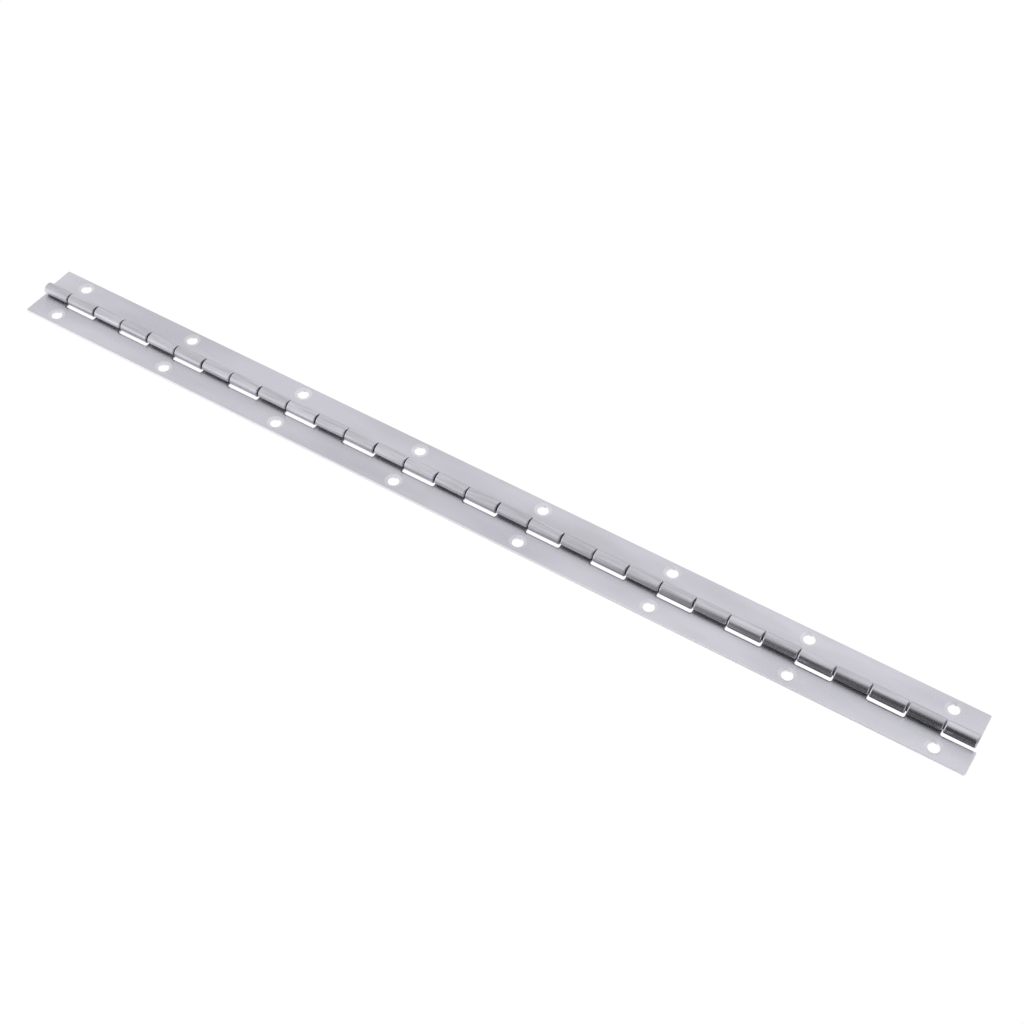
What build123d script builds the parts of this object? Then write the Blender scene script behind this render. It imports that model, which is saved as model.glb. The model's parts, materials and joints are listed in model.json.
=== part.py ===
from build123d import *
import os

# Piano hinge, lying open and flat with its barrel upward.
# X runs along the pin, +Y towards the rear leaf, +Z up.
# The origin is on the plane under both leaves, straight below the middle of the pin.

# ---- Driving dimensions, in millimetres and degrees ----

KNUCKLE_PITCH = 10.0  # one knuckle and the gap beside it
KNUCKLES_PER_LEAF = 15
LEAF_WIDTH = 10.0  # from the pin's axis to a leaf's free edge
SHEET_THICKNESS = 0.8
PIN_DIAMETER = 2.0
PIN_CLEARANCE = 0.05  # radial, between the pin and each knuckle it turns in
WRAP_ANGLE = 275.0  # how far each knuckle curls round the pin from the leaf
KNUCKLE_GAP = 0.3  # between neighbouring knuckles, with both leaves centred
SIDE_PLAY_OFFSET = 0.04  # each leaf has slid this far along the pin, the two in opposite directions
CUTOUT_CLEARANCE = 0.6  # between a knuckle's outside and the other leaf's cut-out
CUTOUT_CORNER_RADIUS = 0.5
KNUCKLE_END_TRIM = 1.1  # a leaf stops this far short of the pitch line at its end with a knuckle
OPEN_END_TRIM = 0.4  # and this far short of it at its other end
LEAF_CORNER_RADIUS = 0.5
INNER_CORNER_RADIUS = 0.3  # the corner beside the barrel at a leaf's open end
HOLE_PITCH = 40.0
HOLES_PER_LEAF = 8
HOLE_LINE = 6.7  # from the pin's axis to the row of screw holes
HOLE_DIAMETER = 3.2
COUNTERSINK_DIAMETER = 4.9
COUNTERSINK_DEPTH = 0.2
PIN_RECESS = 0.2  # the pin stops this far inside the outermost knuckles
PIN_CHAMFER = 0.2
PIN_GRIP_LENGTH = 5.0  # the pin's upset end, which holds it in the rear leaf

# ---- Sizes that follow from them ----

PIN_RADIUS = PIN_DIAMETER / 2
BORE_RADIUS = PIN_RADIUS + PIN_CLEARANCE
BARREL_RADIUS = BORE_RADIUS + SHEET_THICKNESS
AXIS_HEIGHT = BARREL_RADIUS  # the leaf's underside is tangent to the barrel
CUTOUT_DEPTH = BARREL_RADIUS + CUTOUT_CLEARANCE  # from the pin's axis
PITCHED_LENGTH = 2 * KNUCKLES_PER_LEAF * KNUCKLE_PITCH
KNUCKLE_END_X = PITCHED_LENGTH / 2 - KNUCKLE_END_TRIM
OPEN_END_X = -PITCHED_LENGTH / 2 + OPEN_END_TRIM
OVERSHOOT = 1.0  # how far a cutting solid reaches past what it cuts


def leaf_blank():
    """A leaf's cross-section, sheet and rolled edge, run along its whole length."""
    axis = (0, AXIS_HEIGHT)
    with BuildSketch(Plane.YZ.offset(OPEN_END_X)) as section:
        with BuildLine():
            outside = CenterArc(axis, BARREL_RADIUS, -90, -WRAP_ANGLE)
            inside = CenterArc(axis, BORE_RADIUS, -90, -WRAP_ANGLE)
            Line(outside @ 1, inside @ 1)
            Polyline(
                outside @ 0,
                (LEAF_WIDTH, 0),
                (LEAF_WIDTH, SHEET_THICKNESS),
                inside @ 0,
            )
        make_face()
    return extrude(section.sketch, KNUCKLE_END_X - OPEN_END_X)


def cutout(number):
    """What one cut-out takes away: room for a knuckle of the other leaf and the gap on each side of it."""
    pitch_line = -PITCHED_LENGTH / 2 + 2 * number * KNUCKLE_PITCH
    right = pitch_line + KNUCKLE_PITCH + KNUCKLE_GAP / 2
    left = pitch_line - KNUCKLE_GAP / 2
    if number == 0:
        left = OPEN_END_X - CUTOUT_CORNER_RADIUS - OVERSHOOT
    front = -BARREL_RADIUS - OVERSHOOT
    top = AXIS_HEIGHT + BARREL_RADIUS + OVERSHOOT
    tool = Pos(left, front, -OVERSHOOT) * Box(
        right - left,
        CUTOUT_DEPTH - front,
        top + OVERSHOOT,
        align=(Align.MIN, Align.MIN, Align.MIN),
    )
    corners = tool.edges().filter_by(Axis.Z).group_by(Axis.Y)[-1]
    return fillet(corners, CUTOUT_CORNER_RADIUS)


def screw_hole(number):
    """One screw hole, with a shallow pressed countersink on the barrel's side of the leaf."""
    through = Cylinder(HOLE_DIAMETER / 2, SHEET_THICKNESS + 2 * OVERSHOOT)
    sink = Cone(
        HOLE_DIAMETER / 2,
        COUNTERSINK_DIAMETER / 2,
        COUNTERSINK_DEPTH,
        align=(Align.CENTER, Align.CENTER, Align.MAX),
    )
    x = (number - (HOLES_PER_LEAF - 1) / 2) * HOLE_PITCH
    middle = Pos(x, HOLE_LINE, SHEET_THICKNESS / 2)
    top = Pos(x, HOLE_LINE, SHEET_THICKNESS)
    return middle * through + top * sink


def leaf():
    """The rear leaf. The front leaf is the same part turned half a turn about the vertical."""
    body = leaf_blank()
    body -= [cutout(number) for number in range(KNUCKLES_PER_LEAF)]
    body -= [screw_hole(number) for number in range(HOLES_PER_LEAF)]
    upright = body.edges().filter_by(Axis.Z)
    body = fillet(upright.group_by(Axis.Y)[-1], LEAF_CORNER_RADIUS)
    open_end = body.edges().filter_by(Axis.Z).group_by(Axis.X)[0]
    body = fillet(open_end.sort_by(Axis.Y)[0], INNER_CORNER_RADIUS)
    return Pos(-SIDE_PLAY_OFFSET, 0, 0) * body


def hinge_pin():
    """The wire through all the knuckles. Its upset right-hand end fills the rear leaf's last knuckle."""
    half_length = KNUCKLE_END_X - SIDE_PLAY_OFFSET - PIN_RECESS
    along = Pos(0, 0, AXIS_HEIGHT) * Rot(0, 90, 0)
    wire = along * Cylinder(PIN_RADIUS, 2 * half_length)
    wire = chamfer(wire.edges().filter_by(GeomType.CIRCLE), PIN_CHAMFER)
    grip = Pos(half_length - PIN_CHAMFER - PIN_GRIP_LENGTH / 2, 0, 0) * along * Cylinder(
        BORE_RADIUS, PIN_GRIP_LENGTH
    )
    return wire + grip


os.makedirs("parts", exist_ok=True)
rear = leaf()
export_step(rear, "parts/rear_leaf.step")
export_step(Rot(0, 0, 180) * rear, "parts/front_leaf.step")
export_step(hinge_pin(), "parts/hinge_pin.step")
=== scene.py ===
import json
import math
import random

import bpy
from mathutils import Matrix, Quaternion, Vector
from mathutils.geometry import delaunay_2d_cdt


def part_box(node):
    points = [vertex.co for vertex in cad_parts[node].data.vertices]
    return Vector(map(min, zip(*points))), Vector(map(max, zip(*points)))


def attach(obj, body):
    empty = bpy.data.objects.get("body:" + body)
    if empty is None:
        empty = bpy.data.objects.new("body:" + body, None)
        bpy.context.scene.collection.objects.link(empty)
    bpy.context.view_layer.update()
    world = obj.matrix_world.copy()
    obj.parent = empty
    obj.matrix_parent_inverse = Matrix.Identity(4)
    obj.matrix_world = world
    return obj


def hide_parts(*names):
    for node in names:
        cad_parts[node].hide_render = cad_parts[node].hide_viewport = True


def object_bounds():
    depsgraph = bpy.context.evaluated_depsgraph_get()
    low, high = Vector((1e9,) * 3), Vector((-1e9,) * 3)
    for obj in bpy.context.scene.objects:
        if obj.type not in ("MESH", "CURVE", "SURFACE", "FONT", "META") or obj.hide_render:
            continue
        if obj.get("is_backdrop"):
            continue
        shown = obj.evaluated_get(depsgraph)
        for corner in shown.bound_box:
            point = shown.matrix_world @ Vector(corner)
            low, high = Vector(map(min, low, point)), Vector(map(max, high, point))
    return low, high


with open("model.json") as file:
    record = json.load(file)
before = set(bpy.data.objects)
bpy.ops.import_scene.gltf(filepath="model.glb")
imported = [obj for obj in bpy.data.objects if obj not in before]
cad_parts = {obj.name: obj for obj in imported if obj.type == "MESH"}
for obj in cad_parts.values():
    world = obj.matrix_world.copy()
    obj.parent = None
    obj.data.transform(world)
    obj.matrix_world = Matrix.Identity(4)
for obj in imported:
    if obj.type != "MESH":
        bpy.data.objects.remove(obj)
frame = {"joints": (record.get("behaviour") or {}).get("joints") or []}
cad_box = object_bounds()

# Piano hinge: two identical leaves of thin stainless sheet, rolled into knuckles round one wire pin.
# Lengths in the shape code are millimetres; MM turns them into Blender's metres.
MM = 0.001

# ---- The CAD model's own places ----
LEAF_LOW, LEAF_HIGH = (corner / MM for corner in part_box("rear_leaf"))
PIN_LOW, PIN_HIGH = (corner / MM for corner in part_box("hinge_pin"))
OPEN_END = LEAF_LOW.x
KNUCKLE_END = LEAF_HIGH.x
LEAF_WIDTH = LEAF_HIGH.y
AXIS_HEIGHT = frame["joints"][0]["pos_m"][2] / MM

# ---- Sheet, knuckles and holes, as the CAD model has them ----
SHEET = 0.8
BARREL_RADIUS = AXIS_HEIGHT
NEUTRAL_RADIUS = BARREL_RADIUS - SHEET / 2
KNUCKLE_PITCH = 10.0
KNUCKLES = 15
KNUCKLE_GAP = 0.3
SIDE_PLAY = 0.04
WRAP_ANGLE = 275.0
CUTOUT_DEPTH = BARREL_RADIUS + 0.6
CUTOUT_CORNER = 0.5
OUTER_CORNER = 0.5
INNER_CORNER = 0.3
HOLE_PITCH = 40.0
HOLES = 8
HOLE_LINE = 6.7
HOLE_RADIUS = 1.6
SINK_RADIUS = 2.45
SINK_DEPTH = 0.2

# ---- What stamping and rolling leave on the sheet ----
EDGE_ROUND = 0.12
WORN_ROUND = 0.28  # round the knuckles and their cutouts
WORN_FADE = 0.3  # how far past a cutout's end the worn rounding reaches
OPEN_END_FADE = (0.5, 2.0)  # and between which distances from the open end it sets in
SIDE_ROLLOVER = 0.4  # how much wider than high a knuckle's side edge is rounded, and a cutout's
CUTOUT_ROLLOVER = 1.3
SINK_ROUND = 0.1
TAB_CORNER = 0.42
ROUND_STEPS = 4
ARC_STEP = 15.0
ROLL_STEP = 5.0
ROLL_FADE = 1.5  # how far into the roll its own look sets in
FLAT_ROWS = (0.66, 0.33, 0.0)  # rows of vertices between a cutout and the roll, as shares of that distance
TAB_COLUMNS = 8
HOLE_SEGMENTS = 64
EDGE_STEP = 5.0
ROLL_END_SPREAD = (-5.0, 1.5)  # degrees that a knuckle's wrap may differ from the nominal
ROLL_WAVE = 0.010  # how far a knuckle is out of round
ROLL_WAVES = (3, 5)
ROLL_WAVE_SIZES = (0.4, 1.0)
ROLL_WAVE_START = 0.8  # radians into the roll, by which the waves reach their full height
FLARE_ANGLE = 20.0  # degrees at the end of each roll that stay nearly straight
FLARE_SHARE = 0.8
GRAIN_LEAN = 0.3  # how the grain's coordinates move on down a wall of the sheet
HOLE_CUTS = (0, 0.25, 1, 0)  # how far each face round a screw hole shows cut metal: flat, dish, wall, back
SLOPE_STEP = 0.001  # for slopes taken as differences
MERGE_DISTANCE = 1e-6  # closer vertices count as one when the flat is cut into triangles

# ---- The wire pin ----
WIRE_RADIUS = 1.0
WIRE_CHAMFER = 0.2
GRIP_RADIUS = 1.05
GRIP_LENGTH = 5.0
PIN_SEGMENTS = 48
PIN_ROUND = 0.03
PIN_WORN_CORNERS = (1, 2, 5, 6)  # the corners of the two chamfered ends


class Builder:
    """Collects a mesh's vertices, their normals, the values that mark its cut faces, rounded edges and roll
    (used for wear and for painted edge highlights), and its faces.
    """

    def __init__(self):
        self.points, self.normals, self.faces = [], [], []
        self.edge, self.cut, self.roll, self.grain = [], [], [], []

    def add(self, point, normal, edge, cut, roll, grain):
        self.points.append(point)
        self.normals.append(normal)
        self.edge.append(edge)
        self.cut.append(cut)
        self.roll.append(roll)
        self.grain.append(grain)
        return len(self.points) - 1

    def bridge(self, upper, lower):
        """Faces between two closed rings of vertices."""
        for first in range(len(upper)):
            second = (first + 1) % len(upper)
            self.faces.append((upper[first], lower[first], lower[second], upper[second]))

    def mesh(self, name, half_turn=False):
        sign = -1 if half_turn else 1
        data = bpy.data.meshes.new(name)
        data.from_pydata([(sign * x * MM, sign * y * MM, z * MM) for x, y, z in self.points], [], self.faces)
        data.shade_smooth()
        for label, values in (("edge", self.edge), ("cut", self.cut), ("roll", self.roll)):
            layer = data.attributes.new(label, "FLOAT", "POINT")
            layer.data.foreach_set("value", values)
        uv = data.uv_layers.new(name="grain")
        for loop in data.loops:
            uv.data[loop.index].uv = self.grain[loop.vertex_index]
        data.normals_split_custom_set_from_vertices([(sign * x, sign * y, z) for x, y, z in self.normals])
        return data


def unit(x, y):
    length = math.hypot(x, y)
    return x / length, y / length


def smooth(low, high, value):
    share = min(1.0, max(0.0, (value - low) / (high - low)))
    return share * share * (3 - 2 * share)


def rounded(corners, cuts, radius):
    """A section with rounded corners, as points: out, up, the normal's out and up, edge, cut."""
    section = []
    for number in range(1, len(corners) - 1):
        before, corner, after = corners[number - 1 : number + 2]
        along = unit(corner[0] - before[0], corner[1] - before[1])
        onward = unit(after[0] - corner[0], after[1] - corner[1])
        turn = math.acos(along[0] * onward[0] + along[1] * onward[1])
        reach = radius * math.tan(turn / 2)
        up = (-along[1], along[0])
        centre = (
            corner[0] - along[0] * reach - up[0] * radius,
            corner[1] - along[1] * reach - up[1] * radius,
        )
        for step in range(ROUND_STEPS + 1):
            share = step / ROUND_STEPS
            c, s = math.cos(turn * share), math.sin(turn * share)
            normal = (up[0] * c + up[1] * s, up[1] * c - up[0] * s)
            cut = cuts[number - 1] * (1 - share) + cuts[number] * share
            place = (centre[0] + normal[0] * radius, centre[1] + normal[1] * radius)
            section.append((*place, *normal, math.sin(math.pi * share), cut))
    return section


def arc(centre, radius, start, end, hollow=False, steps=None):
    """Outline points round a corner, with normals that point out of the sheet."""
    steps = steps or max(2, round(abs(end - start) / ARC_STEP))
    sign = -1 if hollow else 1
    points = []
    for step in range(steps + 1):
        angle = math.radians(start + (end - start) * step / steps)
        c, s = math.cos(angle), math.sin(angle)
        points.append((centre[0] + radius * c, centre[1] + radius * s, sign * c, sign * s))
    return points


class Roll:
    """How one knuckle is rolled: how far it wraps, and how far it is out of round."""

    def __init__(self, dice):
        self.wrap = math.radians(WRAP_ANGLE + dice.uniform(*ROLL_END_SPREAD))
        self.waves = []
        for count in ROLL_WAVES:
            phase = dice.uniform(0, 2 * math.pi)
            self.waves.append((count, phase, dice.uniform(*ROLL_WAVE_SIZES)))
        self.end = -self.wrap * NEUTRAL_RADIUS

    def swell(self, angle):
        wave = sum(size * math.sin(count * angle + phase) for count, phase, size in self.waves)
        past = max(0.0, angle - (self.wrap - math.radians(FLARE_ANGLE)))
        flare = FLARE_SHARE * BARREL_RADIUS * (1 / math.cos(past) - 1)
        return ROLL_WAVE * wave * smooth(0.0, ROLL_WAVE_START, angle) + flare

    def bend(self, s, h):
        """Where a point s across the flat blank and h up through it ends up, as y and z."""
        if s >= 0:
            return s, h
        angle = -s / NEUTRAL_RADIUS
        radius = BARREL_RADIUS - h + self.swell(angle)
        return -radius * math.sin(angle), AXIS_HEIGHT - radius * math.cos(angle)


class Leaf:
    """One leaf, laid out as the flat blank it is stamped from, and bent into shape point by point."""

    def __init__(self, seed):
        self.dice = random.Random(seed)
        self.build = Builder()
        self.outline = []
        self.tabs = []
        self.blank_places = {}

    def add(self, x, s, h, normal=(0, 0, 1), edge=0.0, cut=0.0, roll=None):
        """Adds the vertex that a point of the flat blank turns into, with its normal bent along."""
        y, z, turned = s, h, normal
        if roll is not None and s < 0:
            y, z = roll.bend(s, h)
            ys, zs = (Vector(roll.bend(s, h)) - Vector(roll.bend(s - SLOPE_STEP, h))) / SLOPE_STEP
            yh, zh = (Vector(roll.bend(s, h + SLOPE_STEP)) - Vector(roll.bend(s, h))) / SLOPE_STEP
            nx, ns, nh = normal
            spread = ys * zh - yh * zs
            turned = Vector((nx * spread, zh * ns - zs * nh, ys * nh - yh * ns)).normalized()
        rolled = smooth(0.0, ROLL_FADE, -s)
        grain = ((s + GRAIN_LEAN * h) / LEAF_WIDTH, (x + GRAIN_LEAN * h) / LEAF_WIDTH)
        return self.build.add((x, y, z), tuple(turned), edge, cut, rolled, grain)

    def trace(self):
        """The blank's outline, anticlockwise from the open end's inner corner."""
        root = CUTOUT_DEPTH - CUTOUT_CORNER
        line = self.outline
        line += arc((OPEN_END + INNER_CORNER, CUTOUT_DEPTH + INNER_CORNER), INNER_CORNER, 180, 270)
        for number in range(KNUCKLES):
            left = -KNUCKLES * KNUCKLE_PITCH + (2 * number + 1) * KNUCKLE_PITCH + KNUCKLE_GAP / 2 - SIDE_PLAY
            right = min(left + KNUCKLE_PITCH - KNUCKLE_GAP, KNUCKLE_END)
            line += arc((left - CUTOUT_CORNER, root), CUTOUT_CORNER, 90, 0, hollow=True)
            self.trace_tab(left, right, root)
            if number < KNUCKLES - 1:
                line += arc((right + CUTOUT_CORNER, root), CUTOUT_CORNER, 180, 90, hollow=True)
        steps = round((LEAF_WIDTH - root) / EDGE_STEP)
        short = LEAF_WIDTH - OUTER_CORNER - root
        line += [(KNUCKLE_END, root + short * n / steps, 1, 0) for n in range(1, steps)]
        line += arc((KNUCKLE_END - OUTER_CORNER, LEAF_WIDTH - OUTER_CORNER), OUTER_CORNER, 0, 90)
        long = KNUCKLE_END - OPEN_END - 2 * OUTER_CORNER
        steps = round(long / EDGE_STEP)
        line += [(KNUCKLE_END - OUTER_CORNER - long * n / steps, LEAF_WIDTH, 0, 1) for n in range(1, steps)]
        line += arc((OPEN_END + OUTER_CORNER, LEAF_WIDTH - OUTER_CORNER), OUTER_CORNER, 90, 180)

    def trace_tab(self, left, right, root):
        """One knuckle's tab: down its left side, along its end and up its right side."""
        roll = Roll(self.dice)
        last = roll.end + TAB_CORNER
        flat = [root * share for share in FLAT_ROWS]
        count = round(math.degrees(-last / NEUTRAL_RADIUS) / ROLL_STEP)
        rows = flat + [last * n / count for n in range(1, count)]
        first = len(self.outline) - 1
        self.outline += [(left, s, -1, 0) for s in rows]
        self.outline += arc((left + TAB_CORNER, last), TAB_CORNER, 180, 270)
        turn = len(self.outline) - 1
        low, high = left + TAB_CORNER, right - TAB_CORNER
        span = high - low
        self.outline += [(low + span * n / TAB_COLUMNS, roll.end, 0, -1) for n in range(1, TAB_COLUMNS)]
        back = len(self.outline)
        self.outline += arc((right - TAB_CORNER, last), TAB_CORNER, 270, 360)
        self.outline += [(right, s, 1, 0) for s in reversed(rows)]
        self.outline.append((right, root, 1, 0))
        final = len(self.outline) - 1
        lefts = list(range(first, turn + 1))
        rights = list(range(final, back - 1, -1))
        end = list(range(turn + 1, back))
        self.tabs.append({"roll": roll, "lefts": lefts, "rights": rights, "end": end})

    def wall(self, points, crisp, worn, rolls):
        """Carries an outline down through the sheet as rings of vertices, worn where the knuckles are.

        Returns the uppermost and the lowest ring.
        """
        rings = []
        for pair in zip(crisp, worn):
            ring = []
            for (x, s, nx, ns), roll in zip(points, rolls):
                rolled = smooth(0.0, ROLL_FADE, -s)
                share = smooth(CUTOUT_DEPTH + WORN_FADE, CUTOUT_DEPTH, s)
                share *= smooth(*OPEN_END_FADE, x - OPEN_END)
                share *= 1 - rolled * abs(ns)
                out, up, across, upward, edge, cut = (a * (1 - share) + b * share for a, b in zip(*pair))
                wide = 1 + share * (SIDE_ROLLOVER * abs(nx) + CUTOUT_ROLLOVER * abs(ns))
                out *= wide
                across, upward = unit(across / wide, upward)
                edge *= 1 - share
                cut *= (1 - share) * (1 - rolled)
                normal = (nx * across, ns * across, upward)
                ring.append(self.add(x + nx * out, s + ns * out, up, normal, edge, cut, roll))
                self.blank_places[ring[-1]] = (x + nx * out, s + ns * out)
            rings.append(ring)
        for upper, lower in zip(rings, rings[1:]):
            self.build.bridge(upper, lower)
        return rings[0], rings[-1]

    def fill_tab(self, tab, ring, h, facing):
        """A knuckle's face, in rows from its root to its end. Returns the root row."""
        place = self.blank_places
        rows = []
        for number, (left, right) in enumerate(zip(tab["lefts"], tab["rights"])):
            a, b = place[ring[left]], place[ring[right]]
            if number == len(tab["lefts"]) - 1:
                inner = [ring[p] for p in tab["end"]]
            else:
                inner = []
                for n in range(1, TAB_COLUMNS):
                    x = a[0] + (b[0] - a[0]) * n / TAB_COLUMNS
                    inner.append(self.add(x, a[1], h, (0, 0, facing), roll=tab["roll"]))
                    place[inner[-1]] = (x, a[1])
            rows.append([ring[left], *inner, ring[right]])
        for upper, lower in zip(rows, rows[1:]):
            for n in range(TAB_COLUMNS):
                face = (upper[n], lower[n], lower[n + 1], upper[n + 1])
                self.build.faces.append(face if facing > 0 else face[::-1])
        return rows[0]

    def hole(self, number):
        """One screw hole's centre and the points round it, clockwise, with normals towards its axis."""
        x = (number - (HOLES - 1) / 2) * HOLE_PITCH - SIDE_PLAY
        centre = (x, HOLE_LINE)
        return centre, arc(centre, HOLE_RADIUS, 360, 0, hollow=True, steps=HOLE_SEGMENTS)[:-1]

    def plate(self, loop, holes, centres):
        """Triangles over the flat of the leaf, with the screw holes left open."""
        loops = [loop, *holes]
        order = [vertex for ring in loops for vertex in ring]
        links, start = [], 0
        for ring in loops:
            links += [(start + n, start + (n + 1) % len(ring)) for n in range(len(ring))]
            start += len(ring)
        flat = [Vector(self.blank_places[vertex]) for vertex in order]
        _, _, triangles, origins, _, _ = delaunay_2d_cdt(flat, links, [], 1, MERGE_DISTANCE)
        kept = []
        for triangle in triangles:
            corners = [origins[n][0] for n in triangle]
            middle = sum((flat[n] for n in corners), Vector((0, 0))) / len(corners)
            if all((middle - Vector(centre)).length > SINK_RADIUS for centre in centres):
                kept.append(corners)
        return order, kept

    def rolls(self):
        """The roll that each outline point is bent by, or None."""
        rolls = [None] * len(self.outline)
        for tab in self.tabs:
            for point in range(tab["lefts"][0], tab["rights"][0] + 1):
                rolls[point] = tab["roll"]
        return rolls

    def drill(self):
        """The walls of the screw holes. Returns each hole's upper and lower ring, and the centres."""
        sink = SINK_RADIUS - HOLE_RADIUS
        bore = [(-sink - 1, SHEET), (-sink, SHEET), (0, SHEET - SINK_DEPTH), (0, 0), (-1, 0)]
        section = rounded(bore, HOLE_CUTS, SINK_ROUND)
        rings, centres = [], []
        for number in range(HOLES):
            centre, points = self.hole(number)
            rings.append(self.wall(points, section, section, [None] * len(points)))
            centres.append(centre)
        return rings, centres

    def flat_rim(self, ring, h, facing):
        """Fills the knuckles' faces on one side of the sheet. Returns the rim of the flat that is left."""
        inside = {p for tab in self.tabs for p in range(tab["lefts"][0] + 1, tab["rights"][0])}
        roots = {tab["lefts"][0]: self.fill_tab(tab, ring, h, facing) for tab in self.tabs}
        rim = []
        for point, vertex in enumerate(ring):
            if point in roots:
                rim += roots[point][:-1]
            elif point not in inside:
                rim.append(vertex)
        return rim

    def make(self):
        """The whole leaf: its rim, its screw holes, the knuckles' faces and the flat."""
        self.trace()
        corners = [(-1, SHEET), (0, SHEET), (0, 0), (-1, 0)]
        crisp, worn = (rounded(corners, (0, 1, 0), radius) for radius in (EDGE_ROUND, WORN_ROUND))
        upper, lower = self.wall(self.outline, crisp, worn, self.rolls())
        holes, centres = self.drill()
        top = self.flat_rim(upper, SHEET, 1)
        bottom = self.flat_rim(lower, 0, -1)
        order, triangles = self.plate(top, [rings[0] for rings in holes], centres)
        under = bottom + [vertex for rings in holes for vertex in rings[1]]
        self.build.faces += [tuple(order[n] for n in corners) for corners in triangles]
        self.build.faces += [tuple(under[n] for n in reversed(corners)) for corners in triangles]
        return self.build


def pin_mesh():
    """The wire pin: chamfered at both ends, and upset where it grips the rear leaf's last knuckle."""
    low, high = PIN_LOW.x, PIN_HIGH.x
    shoulder = high - WIRE_CHAMFER
    grip = shoulder - GRIP_LENGTH
    corners = [
        (low, 0),
        (low, WIRE_RADIUS - WIRE_CHAMFER),
        (low + WIRE_CHAMFER, WIRE_RADIUS),
        (grip, WIRE_RADIUS),
        (grip + WIRE_CHAMFER, GRIP_RADIUS),
        (shoulder, GRIP_RADIUS),
        (high, WIRE_RADIUS - WIRE_CHAMFER),
        (high, 0),
    ]
    build = Builder()
    rings = []
    for number in range(1, len(corners) - 1):
        rings += pin_corner(build, corners[number - 1 : number + 2], number in PIN_WORN_CORNERS)
    for upper, lower in zip(rings, rings[1:]):
        build.bridge(lower, upper)
    for ring, x, facing in ((rings[0], low, -1), (rings[-1], high, 1)):
        middle = build.add((x, 0, AXIS_HEIGHT), (facing, 0, 0), 0, 1, 0, (0, 0))
        for n in range(PIN_SEGMENTS):
            face = (middle, ring[n], ring[(n + 1) % PIN_SEGMENTS])
            build.faces.append(face if facing < 0 else face[::-1])
    return build.mesh("wire_pin")


def pin_corner(build, corners, worn):
    """The rings of vertices that round off one corner of the pin's outline."""
    before, corner, after = corners
    along = unit(corner[0] - before[0], corner[1] - before[1])
    onward = unit(after[0] - corner[0], after[1] - corner[1])
    cross = along[0] * onward[1] - along[1] * onward[0]
    turn = math.atan2(cross, along[0] * onward[0] + along[1] * onward[1])
    reach = PIN_ROUND * math.tan(abs(turn) / 2)
    rings = []
    for share in (0.0, 0.5, 1.0):
        near = (1 - share) ** 2
        far = share**2
        x = corner[0] - along[0] * reach * near + onward[0] * reach * far
        r = corner[1] - along[1] * reach * near + onward[1] * reach * far
        angle = math.atan2(along[1], along[0]) + turn * share
        normal = (-math.sin(angle), math.cos(angle))
        ring = []
        for n in range(PIN_SEGMENTS):
            c, s = math.cos(2 * math.pi * n / PIN_SEGMENTS), math.sin(2 * math.pi * n / PIN_SEGMENTS)
            place = (x, r * c, AXIS_HEIGHT + r * s)
            direction = (normal[0], normal[1] * c, normal[1] * s)
            edge = math.sin(math.pi * share) if worn else 0.0
            ring.append(build.add(place, direction, edge, 0, 1, (r * n / PIN_SEGMENTS, x / LEAF_WIDTH)))
        rings.append(ring)
    return rings


# ---- Materials ----

# Each noise: the size of its blotches in millimetres, its detail and what it adds to the leaf's seed.
LEAF_NOISES = {
    "cloud": ((45, 12, 12), 2, 0),
    "smudge": ((16, 6, 6), 3, 11),
    "grain": ((9, 0.28, 0.28), 2, 23),
    "streak": ((11, 0.7, 0.7), 2, 37),
    "pits": ((0.5, 0.4, 0.4), 2, 41),
}
NOISE_SPREAD = (0.3, 0.7)  # where most of a noise's values lie
LEAF_DEEP = (0.560, 0.554, 0.608, 1)
LEAF_PALE = (0.655, 0.645, 0.706, 1)
LEAF_SMUDGE = (0.550, 0.560, 0.572, 1)
LEAF_STREAK = (0.36, 0.355, 0.375, 1)
LEAF_CUT = (0.95, 0.94, 0.97, 1)
# Pale colour of the rounded edges: partly a burnished burr, partly a painted highlight that stands in for
# the light the roundings catch.
LEAF_EDGE_BURR_AND_HIGHLIGHT = (0.86, 0.85, 0.88, 1)
SMUDGE_SPREAD = (0.56, 0.74)
SMUDGE_SHARE = 0.4
GRAIN_SPREAD = (0.25, 0.75)
GRAIN_SHADES = (0.985, 1.012)
STREAK_SPREAD = (0.35, 0.65)
STREAK_SHARES = (0.5, 0.1)
WEAR_AND_HIGHLIGHT_SHARE = 0.8  # how far a cut face takes on its own colour, and a rounded edge its pale colour, part burr and part painted highlight
LEAF_ROUGHNESS = (0.27, 0.24)
GRAIN_ROUGHNESS = 0.015
CUT_ROUGHNESS = 0.14
LEAF_METALLIC = 0.98
WEAR_METALLIC = 0.65  # how much less metallic a cut face or an edge is, which lets it catch diffuse light
ROLL_LINES = 5.0
CUT_CHATTER = 6.0
LEAF_BUMP = 0.0014  # millimetres
LEAF_ANISOTROPY = 0.9

WIRE_LINES = ((12, 0.12, 0.12), 2, 5)
WIRE_PATCHES = ((3, 1, 1), 3, 7)
# The pin's two base colours are painted shade: far darker than bright steel wire, so that the gaps between
# the knuckles show dark.
WIRE_SHADE_DEEP = (0.16, 0.155, 0.15, 1)
WIRE_SHADE_PALE = (0.26, 0.255, 0.26, 1)
WIRE_STAIN = (0.10, 0.09, 0.08, 1)
WIRE_EDGE = (0.5, 0.5, 0.5, 1)
STAIN_SPREAD = (0.5, 0.75)
STAIN_SHARE = 0.5
WIRE_EDGE_SHARE = 0.6
WIRE_ROUGHNESS = (0.32, 0.46)
WIRE_BUMP = 0.002  # millimetres
WIRE_ANISOTROPY = 0.4


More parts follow.
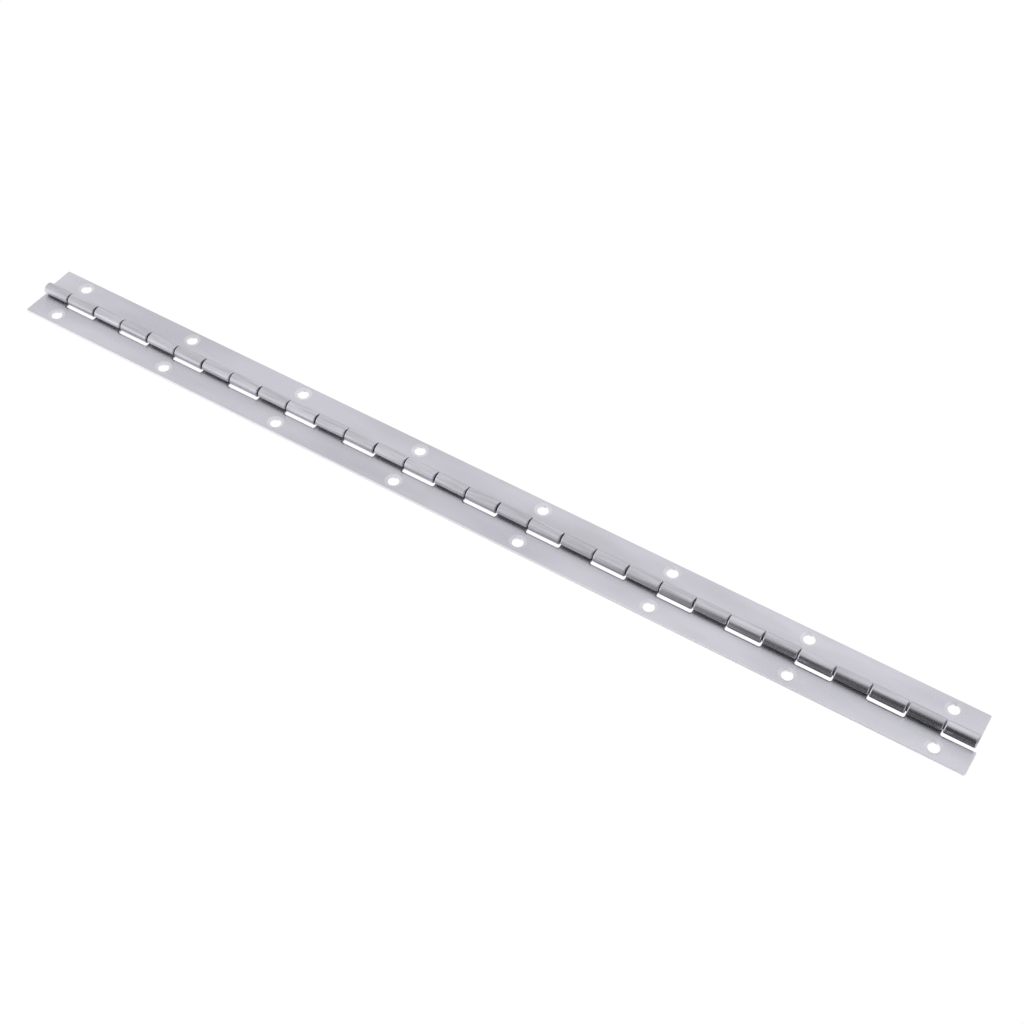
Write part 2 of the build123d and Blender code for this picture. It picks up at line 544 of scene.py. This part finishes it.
class Nodes:
    """Short ways to add and join shader nodes."""

    def __init__(self, tree):
        self.tree = tree

    def add(self, kind, settings=None, **inputs):
        node = self.tree.nodes.new(kind)
        for name, value in (settings or {}).items():
            setattr(node, name, value)
        for name, value in inputs.items():
            self.put(node.inputs[name.replace("_", " ")], value)
        return node

    def put(self, socket, value):
        if isinstance(value, bpy.types.NodeSocket):
            self.tree.links.new(value, socket)
        else:
            socket.default_value = value

    def math(self, operation, a, b=0.0):
        node = self.tree.nodes.new("ShaderNodeMath")
        node.operation = operation
        self.put(node.inputs[0], a)
        self.put(node.inputs[1], b)
        return node.outputs[0]

    def remap(self, value, low, high, to_low=0.0, to_high=1.0):
        node = self.add("ShaderNodeMapRange", {"interpolation_type": "SMOOTHSTEP"}, Value=value)
        for name, number in (("From Min", low), ("From Max", high), ("To Min", to_low), ("To Max", to_high)):
            node.inputs[name].default_value = number
        return node.outputs["Result"]

    def mix(self, factor, a, b, blend="MIX"):
        node = self.add("ShaderNodeMix", {"data_type": "RGBA", "blend_type": blend, "clamp_factor": True})
        self.put(node.inputs[0], factor)
        self.put(node.inputs[6], a)
        self.put(node.inputs[7], b)
        return node.outputs[2]

    def noise(self, places, size, detail=2.0, seed=0.0):
        """Noise whose blotches measure about size millimetres in x, y and z."""
        scale = tuple(1 / length for length in size)
        moved = self.add("ShaderNodeMapping", Vector=places, Scale=scale, Location=(seed, seed / 2, -seed))
        noise = self.add("ShaderNodeTexNoise", Vector=moved.outputs[0], Scale=1.0, Detail=detail)
        return noise.outputs["Fac"]

    def attribute(self, name):
        return self.add("ShaderNodeAttribute", {"attribute_name": name}).outputs["Fac"]


def new_material(name):
    material = bpy.data.materials.new(name)
    material.use_nodes = True
    nodes = Nodes(material.node_tree)
    places = nodes.add("ShaderNodeTexCoord").outputs["Object"]
    in_mm = nodes.add("ShaderNodeMapping", Vector=places, Scale=(1 / MM,) * 3).outputs[0]
    return material, nodes, in_mm, material.node_tree.nodes["Principled BSDF"]


def finish_metal(nodes, shader, colour, metallic, roughness, height, depth, anisotropy):
    nodes.put(shader.inputs["Metallic"], metallic)
    shader.inputs["Anisotropic"].default_value = anisotropy
    nodes.put(shader.inputs["Base Color"], colour)
    nodes.put(shader.inputs["Roughness"], roughness)
    across = nodes.add("ShaderNodeTangent", {"direction_type": "UV_MAP", "uv_map": "grain"})
    nodes.put(shader.inputs["Tangent"], across.outputs[0])
    bump = nodes.add("ShaderNodeBump", Height=height, Strength=1.0, Distance=depth * MM)
    nodes.put(shader.inputs["Normal"], bump.outputs[0])


def leaf_steel(seed):
    """Mill-finished stainless sheet: lengthwise grain, cloudy tint, streaked knuckles, pale cut faces, and
    pale rounded edges that are partly a burnished burr and partly a painted highlight.
    """
    material, nodes, places, shader = new_material("leaf_steel")
    edge, cut, roll = (nodes.attribute(name) for name in ("edge", "cut", "roll"))
    noises = [nodes.noise(places, size, detail, seed + more) for size, detail, more in LEAF_NOISES.values()]
    cloud, smudge, grain, streak, pits = noises
    colour = nodes.mix(nodes.remap(cloud, *NOISE_SPREAD), LEAF_DEEP, LEAF_PALE)
    colour = nodes.mix(nodes.remap(smudge, *SMUDGE_SPREAD, 0.0, SMUDGE_SHARE), colour, LEAF_SMUDGE)
    fine = nodes.remap(grain, *GRAIN_SPREAD, *GRAIN_SHADES)
    shade = nodes.add("ShaderNodeCombineColor", Red=fine, Green=fine, Blue=fine).outputs[0]
    colour = nodes.mix(1.0, colour, shade, "MULTIPLY")
    dark = nodes.math("MULTIPLY", nodes.remap(streak, *STREAK_SPREAD, *STREAK_SHARES), roll)
    colour = nodes.mix(dark, colour, LEAF_STREAK)
    colour = nodes.mix(nodes.math("MULTIPLY", cut, WEAR_AND_HIGHLIGHT_SHARE), colour, LEAF_CUT)
    # Painted highlight along the rounded edges, partly a burnished burr: a pale colour that stands in for
    # the light the edges catch.
    colour = nodes.mix(nodes.math("MULTIPLY", edge, WEAR_AND_HIGHLIGHT_SHARE), colour, LEAF_EDGE_BURR_AND_HIGHLIGHT)
    broad = nodes.remap(cloud, *NOISE_SPREAD, *LEAF_ROUGHNESS)
    rough = nodes.math("ADD", broad, nodes.remap(grain, *NOISE_SPREAD, -GRAIN_ROUGHNESS, GRAIN_ROUGHNESS))
    rough = nodes.math("ADD", rough, nodes.math("MULTIPLY", cut, CUT_ROUGHNESS))
    lines = nodes.math("MULTIPLY", streak, nodes.math("MULTIPLY", roll, ROLL_LINES))
    chatter = nodes.math("MULTIPLY", pits, nodes.math("MULTIPLY", cut, CUT_CHATTER))
    height = nodes.math("ADD", nodes.math("ADD", grain, lines), chatter)
    # Cut faces and rounded edges are made less metallic; on the edges this is part of the painted highlight.
    worn = nodes.math("MAXIMUM", cut, edge)
    metallic = nodes.math("SUBTRACT", LEAF_METALLIC, nodes.math("MULTIPLY", worn, WEAR_METALLIC))
    finish_metal(nodes, shader, colour, metallic, rough, height, LEAF_BUMP, LEAF_ANISOTROPY)
    return material


def pin_steel():
    """Drawn wire: duller than the leaves, with fine lines along it, and painted dark: its darkness is
    painted shade for the gaps between the knuckles, where the pin shows.
    """
    material, nodes, places, shader = new_material("pin_steel")
    line = nodes.noise(places, *WIRE_LINES)
    stain = nodes.noise(places, *WIRE_PATCHES)
    # Painted shade: the wire's base colour is kept dark to stand for the shade in the gaps between the
    # knuckles.
    colour = nodes.mix(nodes.remap(line, *NOISE_SPREAD), WIRE_SHADE_DEEP, WIRE_SHADE_PALE)
    colour = nodes.mix(nodes.remap(stain, *STAIN_SPREAD, 0.0, STAIN_SHARE), colour, WIRE_STAIN)
    edge = nodes.math("MULTIPLY", nodes.attribute("edge"), WIRE_EDGE_SHARE)
    colour = nodes.mix(edge, colour, WIRE_EDGE)
    rough = nodes.remap(stain, *NOISE_SPREAD, *WIRE_ROUGHNESS)
    finish_metal(nodes, shader, colour, 1.0, rough, line, WIRE_BUMP, WIRE_ANISOTROPY)
    return material


# ---- Studio ----

CAMERA_PLACE = (0.164344, -0.271167, 0.363151)
CAMERA_AIM = (0.01293, 0.00207, 0.0)
CAMERA_ROLL = 3.20
CAMERA_LENS = 61.886
CAMERA_SENSOR = 36.0
CAMERA_NEAR = 0.01

FLOOR_SIZE = 6.0
FLOOR_CLEARANCE = 2 * MM  # below the free edge of a leaf that hangs straight down
FLOOR_GLOW = 1.02

CARD_LEFT = 13.5  # degrees left of straight in front, where the dark card starts
CARD_SOFTNESS = 2.5
CARD_LEAN = -25.0  # which way the card faces, and between which slants to that way it fades out
CARD_FADE = (-0.45, 0.65)
CARD_LEVEL = 0.015
CARD_FOOT = (-0.3, 0.05)  # heights, as the sine of the elevation, between which the card fades in
CARD_SIDE = (0.34, 0.14)  # X, between which the card and the shade under it fade out on the right
SHADE_SIDE = (-0.42, -0.12)  # X, between which the shade fades in from the left
SHADE_TOP = (0.05, -0.3)  # Z, between which it fades in from above
SHADE_BACK = (0.74, 0.6)  # Y, between which it fades in from behind

# Soft round panels: azimuth, elevation, degrees to where they start and stop fading, and how much they add.
PANELS = (
    (55, -8, 8, 42, 0.68),
    (150, 52, 3, 24, -0.12),
    (-85, 18, 25, 50, -0.85),
    (-165, 55, 5, 35, 0.14),
)


def direction(azimuth, elevation):
    """A unit vector from an azimuth, in degrees left of straight in front, and an elevation."""
    a, e = math.radians(azimuth), math.radians(elevation)
    return (-math.sin(a) * math.cos(e), -math.cos(a) * math.cos(e), math.sin(e))


def towards(nodes, view, azimuth, elevation):
    """The cosine of the angle between the view and a direction."""
    node = nodes.add("ShaderNodeVectorMath", {"operation": "DOT_PRODUCT"})
    nodes.put(node.inputs[0], view)
    node.inputs[1].default_value = direction(azimuth, elevation)
    return node.outputs["Value"]


def half_space(nodes, view, azimuth, softness):
    """1 on the side that the azimuth points to and 0 on the other, with a soft edge."""
    soft = math.sin(math.radians(softness))
    return nodes.remap(towards(nodes, view, azimuth, 0), -soft, soft)


def patch(nodes, view, azimuth, elevation, inner, outer):
    """1 within inner degrees of a direction, fading to 0 at outer degrees."""
    low, high = (math.cos(math.radians(angle)) for angle in (outer, inner))
    return nodes.remap(towards(nodes, view, azimuth, elevation), low, high)


def dark_card(nodes, view):
    """1 where the studio is dark: a card in front, with a shade that carries it on below the horizon."""
    split = nodes.add("ShaderNodeSeparateXYZ", Vector=view)
    x, y, z = (split.outputs[name] for name in "XYZ")
    card = half_space(nodes, view, CARD_LEFT - 90, CARD_SOFTNESS)
    card = nodes.math("MULTIPLY", card, nodes.remap(towards(nodes, view, CARD_LEAN, 0), *CARD_FADE))
    card = nodes.math("MULTIPLY", card, nodes.remap(z, *CARD_FOOT))
    shade = nodes.remap(x, *SHADE_SIDE)
    shade = nodes.math("MULTIPLY", shade, nodes.remap(z, *SHADE_TOP))
    shade = nodes.math("MULTIPLY", shade, nodes.remap(y, *SHADE_BACK))
    return nodes.math("MULTIPLY", nodes.math("MAXIMUM", card, shade), nodes.remap(x, *CARD_SIDE))


def make_world():
    """A white studio. Only glossy rays see its dark card and its panels; all other rays see plain white."""
    world = bpy.data.worlds.new("studio")
    world.use_nodes = True
    bpy.context.scene.world = world
    nodes = Nodes(world.node_tree)
    view = nodes.add("ShaderNodeTexCoord").outputs["Generated"]
    level = 1.0
    for *place, more in PANELS:
        level = nodes.math("ADD", level, nodes.math("MULTIPLY", patch(nodes, view, *place), more))
    dimmed = nodes.math("MULTIPLY", dark_card(nodes, view), 1 - CARD_LEVEL)
    level = nodes.math("MULTIPLY", level, nodes.math("SUBTRACT", 1.0, dimmed))
    glossy = nodes.add("ShaderNodeLightPath").outputs["Is Glossy Ray"]
    strength = nodes.math("ADD", nodes.math("MULTIPLY", nodes.math("SUBTRACT", level, 1.0), glossy), 1.0)
    background = world.node_tree.nodes["Background"]
    background.inputs["Color"].default_value = (1, 1, 1, 1)
    nodes.put(background.inputs["Strength"], strength)


def make_floor():
    """A pale floor, low enough for a leaf to swing down, glowing like a light table and clear from below."""
    height = (AXIS_HEIGHT - LEAF_WIDTH) * MM - FLOOR_CLEARANCE
    half = FLOOR_SIZE / 2
    data = bpy.data.meshes.new("floor")
    corners = [(-half, -half, height), (half, -half, height), (half, half, height), (-half, half, height)]
    data.from_pydata(corners, [], [(0, 1, 2, 3)])
    floor = bpy.data.objects.new("floor", data)
    bpy.context.scene.collection.objects.link(floor)
    material = bpy.data.materials.new("floor")
    material.use_nodes = True
    nodes = Nodes(material.node_tree)
    glow = nodes.add("ShaderNodeEmission", Color=(1, 1, 1, 1), Strength=FLOOR_GLOW)
    clear = nodes.add("ShaderNodeBsdfTransparent")
    side = nodes.add("ShaderNodeNewGeometry").outputs["Backfacing"]
    mixed = nodes.add("ShaderNodeMixShader", Fac=side)
    nodes.put(mixed.inputs[1], glow.outputs[0])
    nodes.put(mixed.inputs[2], clear.outputs[0])
    nodes.put(material.node_tree.nodes["Material Output"].inputs["Surface"], mixed.outputs[0])
    data.materials.append(material)
    floor.visible_glossy = False
    floor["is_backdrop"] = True


def make_camera():
    data = bpy.data.cameras.new("camera")
    data.lens = CAMERA_LENS
    data.sensor_width = CAMERA_SENSOR
    data.clip_start = CAMERA_NEAR
    camera = bpy.data.objects.new("camera", data)
    bpy.context.scene.collection.objects.link(camera)
    camera.location = CAMERA_PLACE
    look = Vector(CAMERA_AIM) - Vector(CAMERA_PLACE)
    roll = Quaternion((0, 0, 1), math.radians(CAMERA_ROLL))
    camera.rotation_mode = "QUATERNION"
    camera.rotation_quaternion = look.to_track_quat("-Z", "Y") @ roll
    bpy.context.scene.camera = camera


def make_piece(name, data, material, body, node):
    piece = bpy.data.objects.new(name, data)
    bpy.context.scene.collection.objects.link(piece)
    data.materials.append(material)
    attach(piece, body)
    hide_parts(node)


REAR_SEED = 4
FRONT_SEED = 9

rear = Leaf(REAR_SEED).make().mesh("rear_leaf_sheet")
front = Leaf(FRONT_SEED).make().mesh("front_leaf_sheet", half_turn=True)
make_piece("rear_leaf_sheet", rear, leaf_steel(REAR_SEED), "rear_leaf", "rear_leaf")
make_piece("front_leaf_sheet", front, leaf_steel(FRONT_SEED), "front_leaf", "front_leaf")
make_piece("wire_pin", pin_mesh(), pin_steel(), "rear_leaf", "hinge_pin")

make_world()
make_floor()
make_camera()
bpy.context.scene.view_settings.view_transform = "Standard"

boxes = {"cad": cad_box, "visual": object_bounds()}
{name: [list(corner) for corner in box] for name, box in boxes.items()}
